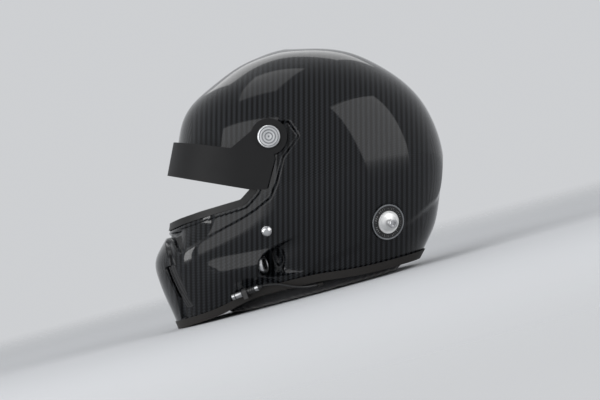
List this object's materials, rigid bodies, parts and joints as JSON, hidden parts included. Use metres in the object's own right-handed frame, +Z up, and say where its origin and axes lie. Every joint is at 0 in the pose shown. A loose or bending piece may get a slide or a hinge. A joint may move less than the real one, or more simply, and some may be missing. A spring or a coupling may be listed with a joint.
{
  "type": "auto racing helmet",
  "caption": "Full-face racing helmet with a tilting peak, foam liners, ear cups, a radio lead, a drink coupling and head-restraint anchors.",
  "frame": {"origin": "centre of the helmet's length and width, on the surface that it stands on", "axes": "+Z up, the face looks along -X, the wearer's left is -Y, and the symmetry plane is XZ"},
  "size_m": [0.3479, 0.2542, 0.2736],
  "materials": {
    "carbon_shell": "clear-coated carbon twill",
    "trim_rubber": "soft grey-brown rubber",
    "peak_plastic": "fine-grained matt black",
    "nylon": "natural nylon",
    "silver_aluminium": "turned, satin",
    "zinc_steel": "zinc plated",
    "anchor_disc": "satin rim round a black face",
    "anchor_washer": "bead-blasted silver",
    "polished_steel": "polished steel",
    "port_metal": "silver, turned",
    "spring_steel": "bright wire",
    "vent_plastic": "gloss black",
    "liner_foam": "expanded foam beads, black",
    "lining_fabric": "flame-resistant knit",
    "roll_fabric": "padded black knit",
    "cup_plastic": "matt black",
    "speaker_plastic": "black with a grille",
    "foam": "open-cell foam",
    "webbing": "woven black webbing",
    "lead_jacket": "black jacket",
    "connector_plastic": "moulded black"
  },
  "bodies": {
    "helmet": {"outer_shell": "carbon_shell", "base_trim": "trim_rubber", "eye_port_trim": "trim_rubber", "pivot_bushes": "nylon", "pivot_screws": "silver_aluminium", "pivot_nuts": "zinc_steel", "latch_studs": "silver_aluminium", "latch_nuts": "zinc_steel", "anchor_discs": "anchor_disc", "anchor_washers": "anchor_washer", "anchor_posts": "polished_steel", "anchor_plates": "zinc_steel", "port_socket": "port_metal", "port_nut": "zinc_steel", "port_spring": "spring_steel", "chin_vent_left": "vent_plastic", "chin_vent_right": "vent_plastic", "crown_liner": "liner_foam", "side_liner_left": "liner_foam", "side_liner_right": "liner_foam", "chin_liner": "liner_foam", "comfort_liner": "lining_fabric", "cheek_pad_left": "lining_fabric", "cheek_pad_right": "lining_fabric", "neck_roll": "roll_fabric", "ear_cup_left": "cup_plastic", "ear_cup_right": "cup_plastic", "speaker_left": "speaker_plastic", "speaker_right": "speaker_plastic", "ear_cushion_left": "foam", "ear_cushion_right": "foam", "microphone": "cup_plastic", "mic_foam": "foam", "strap_hanger_left": "zinc_steel", "strap_hanger_right": "zinc_steel", "hanger_nuts": "zinc_steel", "lead": "lead_jacket", "lead_gland": "trim_rubber", "lead_boot": "lead_jacket", "lead_connector": "connector_plastic", "lead_clip": "cup_plastic"},
    "peak": {"peak": "peak_plastic"},
    "valve": {"port_poppet": "polished_steel"},
    "strap": {"chin_strap_left": "webbing", "chin_strap_right": "webbing", "strap_rings": "polished_steel", "strap_eyes": "zinc_steel"}
  },
  "joints": [
    {"name": "peak_tilt", "type": "hinge", "parent": "helmet", "child": "peak", "pos_m": [-0.01096, 0, 0.18029], "axis": [0, 1, 0], "range_deg": [-5, 25]},
    {"name": "valve_slide", "type": "slide", "parent": "helmet", "child": "valve", "axis": [-0.9272, 0.3746, 0], "range_m": [0, 0.0016], "stiffness_N_per_m": 400, "springref_m": -0.001, "deforming": ["port_spring"]},
    {"name": "strap_swing", "type": "hinge", "parent": "helmet", "child": "strap", "pos_m": [0.0174, 0, 0.05891], "axis": [0, 1, 0], "range_deg": [-10, 10]}
  ]
}
